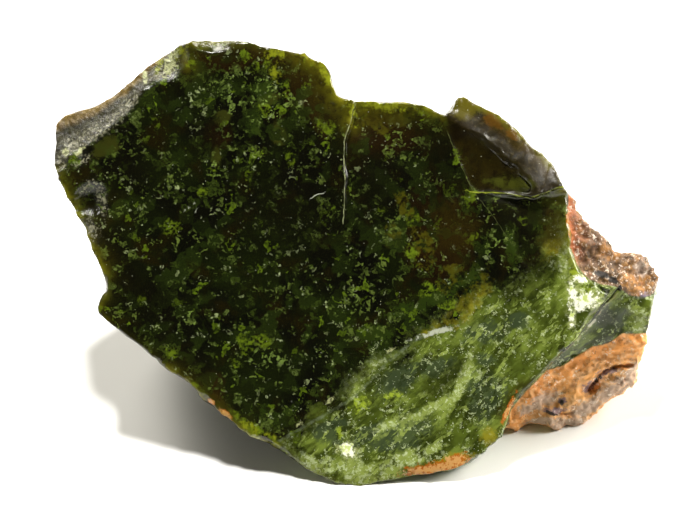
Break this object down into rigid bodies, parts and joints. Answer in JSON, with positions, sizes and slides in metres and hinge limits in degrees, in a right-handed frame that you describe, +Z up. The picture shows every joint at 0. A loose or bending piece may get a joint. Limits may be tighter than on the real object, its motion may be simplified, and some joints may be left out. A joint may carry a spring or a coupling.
{
  "type": "raw green opalite",
  "caption": "Raw broken chunk of dark green opalite with a chipped face, thin edges and a rusty granular crust, resting on a flat break.",
  "frame": {"origin": "middle of the object's box, on the surface that the stone rests on", "axes": "+X to the right along the stone's length, as its big face is looked at; +Y from the big face's foot towards the hidden back; +Z up"},
  "size_m": [0.0858, 0.0526, 0.0477],
  "materials": {
    "opalite": "glassy dark green common opal, waxy on its broken face, with pale flecks and a dull orange-brown crust down the right side"
  },
  "bodies": {
    "root": {"opalite_stone": "opalite"}
  },
  "joints": []
}
